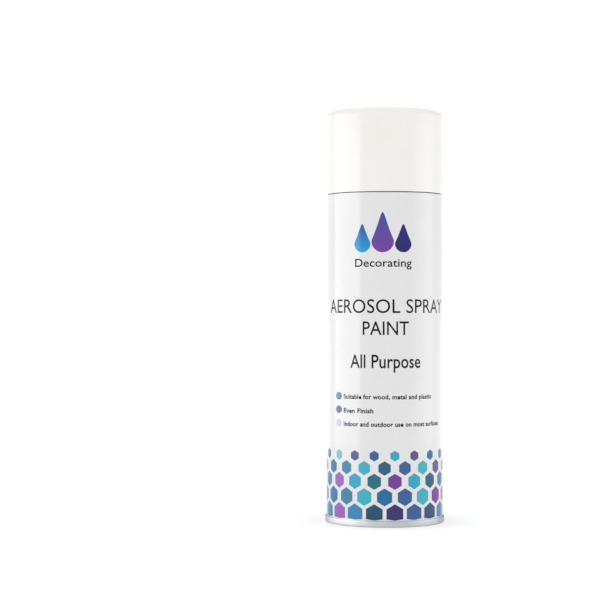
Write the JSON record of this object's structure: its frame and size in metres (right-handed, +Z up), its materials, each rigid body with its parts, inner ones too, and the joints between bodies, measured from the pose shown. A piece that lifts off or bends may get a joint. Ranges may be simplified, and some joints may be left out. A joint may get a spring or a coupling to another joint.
{
  "type": "aerosol spray can",
  "caption": "Upright aerosol paint can with a pull-off overcap, sprung valve, turning spray button, dip tube, loose mixing balls and a wrapped label.",
  "frame": {"origin": "middle of the base seam's standing ring, on the surface that the can stands on", "axes": "+Z up the can's axis, -Y out of the nozzle and out of the label's front, +X to the right of someone facing the front"},
  "size_m": [0.0668, 0.0668, 0.2297],
  "materials": {
    "tinplate": "bright tinplate with a clear lacquer",
    "sealant": "dried lining compound",
    "label_film": "white film with a low gloss",
    "gasket_rubber": "black nitrile rubber",
    "valve_plastic": "natural acetal",
    "spring_steel": "drawn stainless wire",
    "tube_plastic": "natural polyethylene",
    "button_plastic": "white moulded polypropylene",
    "insert_plastic": "black acetal",
    "cap_plastic": "warm white moulded polypropylene, semi-gloss",
    "ball_steel": "polished bearing steel"
  },
  "bodies": {
    "can": {"can_body": "tinplate", "base_end": "tinplate", "top_dome": "tinplate", "base_seam_sealant": "sealant", "top_seam_sealant": "sealant", "wrap_label": "label_film", "valve_cup": "tinplate", "cup_gasket": "gasket_rubber", "stem_gasket": "gasket_rubber", "valve_housing": "valve_plastic", "valve_spring": "spring_steel", "dip_tube": "tube_plastic"},
    "valve": {"valve_stem": "valve_plastic"},
    "actuator": {"spray_button": "button_plastic", "nozzle_insert": "insert_plastic"},
    "cap": {"overcap": "cap_plastic"},
    "ball_1": {"mixing_ball_1": "ball_steel"},
    "ball_2": {"mixing_ball_2": "ball_steel"}
  },
  "joints": [
    {"name": "cap_pull", "type": "slide", "parent": "can", "child": "cap", "axis": [0, 0, 1], "range_m": [0, 0.05]},
    {"name": "button_press", "type": "slide", "parent": "can", "child": "valve", "axis": [0, 0, -1], "range_m": [0, 0.0012], "stiffness_N_per_m": 2500, "springref_m": -0.0024, "deforming": ["valve_spring"]},
    {"name": "button_turn", "type": "hinge", "parent": "valve", "child": "actuator", "pos_m": [0, 0, 0.2122], "axis": [0, 0, 1], "continuous": true},
    {"name": "ball_1_rattle", "type": "slide", "parent": "can", "child": "ball_1", "axis": [0, 0, 1], "range_m": [0, 0.16]},
    {"name": "ball_2_rattle", "type": "slide", "parent": "can", "child": "ball_2", "axis": [0, 0, 1], "range_m": [0, 0.16]}
  ]
}
